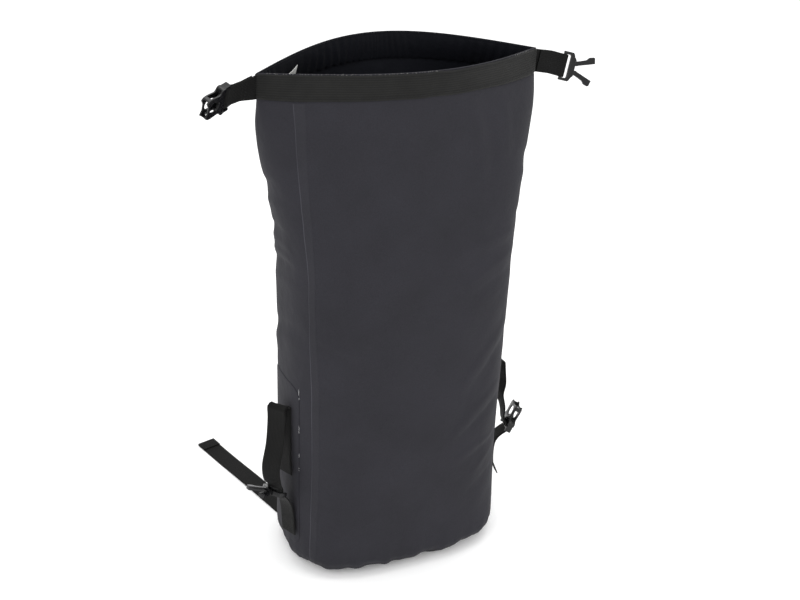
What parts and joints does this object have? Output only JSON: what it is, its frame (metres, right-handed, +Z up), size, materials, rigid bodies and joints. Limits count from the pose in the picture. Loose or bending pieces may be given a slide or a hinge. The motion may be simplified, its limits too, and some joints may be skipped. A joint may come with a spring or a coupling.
{
  "type": "roll-top dry bag",
  "caption": "Tall black coated-fabric dry bag standing open, with a stiffened roll-top mouth, side-release buckles, side straps and padded shoulder straps.",
  "frame": {"origin": "centre of the base, on the floor the bag stands on", "axes": "+Z up through the mouth, -Y towards the front, -X towards the left side"},
  "size_m": [0.4554, 0.3555, 0.61],
  "materials": {
    "coated_fabric": "satin",
    "seam_tape": "satin",
    "webbing": "matte",
    "buckle_plastic": "semi-gloss",
    "stiffener_plastic": "matte",
    "lining": "satin",
    "label_white": "matte",
    "padding": "matte"
  },
  "bodies": {
    "bag": {"front_panel": "coated_fabric", "back_panel": "coated_fabric", "base_panel": "coated_fabric", "base_weld_tape": "seam_tape", "left_seam_tape": "seam_tape", "right_seam_tape": "seam_tape", "front_rim_band": "webbing", "back_rim_band": "webbing", "front_rim_stiffener": "stiffener_plastic", "back_rim_stiffener": "stiffener_plastic", "inner_hem": "lining", "care_label": "label_white", "left_side_patch": "coated_fabric", "right_side_patch": "coated_fabric", "left_side_strap": "webbing", "right_side_strap": "webbing", "shoulder_anchor_patch": "coated_fabric", "left_shoulder_anchor": "webbing", "right_shoulder_anchor": "webbing", "left_tail_anchor": "webbing", "right_tail_anchor": "webbing"},
    "left_tab": {"left_mouth_tab": "webbing"},
    "right_tab": {"right_mouth_tab": "webbing"},
    "mouth_socket": {"mouth_socket": "buckle_plastic"},
    "mouth_plug": {"mouth_plug": "buckle_plastic"},
    "mouth_upper_prong": {"mouth_plug_upper_prong": "buckle_plastic"},
    "mouth_lower_prong": {"mouth_plug_lower_prong": "buckle_plastic"},
    "side_plug": {"side_plug": "buckle_plastic"},
    "side_front_prong": {"side_plug_front_prong": "buckle_plastic"},
    "side_back_prong": {"side_plug_back_prong": "buckle_plastic"},
    "side_socket": {"side_socket": "buckle_plastic"},
    "left_shoulder_strap": {"left_shoulder_pad": "padding", "left_shoulder_webbing": "webbing"},
    "right_shoulder_strap": {"right_shoulder_pad": "padding", "right_shoulder_webbing": "webbing"},
    "left_ladder_lock": {"left_ladder_lock": "buckle_plastic"},
    "right_ladder_lock": {"right_ladder_lock": "buckle_plastic"},
    "left_tail": {"left_tail_webbing": "webbing"},
    "right_tail": {"right_tail_webbing": "webbing"}
  },
  "joints": [
    {"name": "left_tab_swing", "type": "hinge", "parent": "bag", "child": "left_tab", "pos_m": [-0.1645, 0, 0.5865], "axis": [0.0219, -0.3907, 0.9203], "range_deg": [-60, 60]},
    {"name": "right_tab_swing", "type": "hinge", "parent": "bag", "child": "right_tab", "pos_m": [0.166, 0, 0.5865], "axis": [0.3058, 0.2026, 0.9303], "range_deg": [-60, 60]},
    {"name": "mouth_socket_turn", "type": "hinge", "parent": "left_tab", "child": "mouth_socket", "pos_m": [-0.19528, -0.0112, 0.58248], "axis": [0.0219, -0.3907, 0.9203], "range_deg": [-60, 60]},
    {"name": "mouth_plug_turn", "type": "hinge", "parent": "right_tab", "child": "mouth_plug", "pos_m": [0.19595, -0.00052, 0.57677], "axis": [0.3058, 0.2026, 0.9303], "range_deg": [-60, 60]},
    {"name": "mouth_upper_prong_flex", "type": "hinge", "parent": "mouth_plug", "child": "mouth_upper_prong", "pos_m": [0.21024, -0.00591, 0.57883], "axis": [0.3745, 0.8728, -0.3132], "range_deg": [0, 18], "stiffness_Nm_per_rad": 0.3},
    {"name": "mouth_lower_prong_flex", "type": "hinge", "parent": "mouth_plug", "child": "mouth_lower_prong", "pos_m": [0.20706, -0.00802, 0.56916], "axis": [-0.3745, -0.8728, 0.3132], "range_deg": [0, 18], "stiffness_Nm_per_rad": 0.3},
    {"name": "side_plug_turn", "type": "hinge", "parent": "bag", "child": "side_plug", "pos_m": [-0.14893, -0.02321, 0.10859], "axis": [0.307, -0.9449, 0.1132], "range_deg": [0, 60]},
    {"name": "side_front_prong_flex", "type": "hinge", "parent": "side_plug", "child": "side_front_prong", "pos_m": [-0.16039, -0.03175, 0.11434], "axis": [-0.3082, -0.2113, -0.9276], "range_deg": [0, 18], "stiffness_Nm_per_rad": 0.3},
    {"name": "side_back_prong_flex", "type": "hinge", "parent": "side_plug", "child": "side_back_prong", "pos_m": [-0.16358, -0.02192, 0.11316], "axis": [0.3082, 0.2113, 0.9276], "range_deg": [0, 18], "stiffness_Nm_per_rad": 0.3},
    {"name": "side_socket_turn", "type": "hinge", "parent": "bag", "child": "side_socket", "pos_m": [0.15263, -0.01652, 0.12639], "axis": [0.3067, 0.944, -0.1219], "range_deg": [-5, 80]},
    {"name": "left_shoulder_swing", "type": "hinge", "parent": "bag", "child": "left_shoulder_strap", "pos_m": [-0.062, 0.0985, 0.506], "axis": [1, 0, 0], "range_deg": [0, 45]},
    {"name": "left_lock_tilt", "type": "hinge", "parent": "left_shoulder_strap", "child": "left_ladder_lock", "pos_m": [-0.062, 0.1041, 0.138], "axis": [1, 0, 0], "range_deg": [-35, 60]},
    {"name": "left_tail_lift", "type": "hinge", "parent": "bag", "child": "left_tail", "pos_m": [-0.1016, 0.076, 0.00075], "axis": [0.965, 0.2622, 0], "range_deg": [0, 80]},
    {"name": "right_shoulder_swing", "type": "hinge", "parent": "bag", "child": "right_shoulder_strap", "pos_m": [0.062, 0.0985, 0.506], "axis": [1, 0, 0], "range_deg": [0, 45]},
    {"name": "right_lock_tilt", "type": "hinge", "parent": "right_shoulder_strap", "child": "right_ladder_lock", "pos_m": [0.062, 0.1041, 0.138], "axis": [1, 0, 0], "range_deg": [-35, 60]},
    {"name": "right_tail_lift", "type": "hinge", "parent": "bag", "child": "right_tail", "pos_m": [0.1016, 0.076, 0.00075], "axis": [0.965, -0.2622, 0], "range_deg": [0, 80]}
  ],
  "couplings": [
    {"joint": "mouth_lower_prong_flex", "follows": "mouth_upper_prong_flex", "ratio": 1},
    {"joint": "side_back_prong_flex", "follows": "side_front_prong_flex", "ratio": 1}
  ]
}
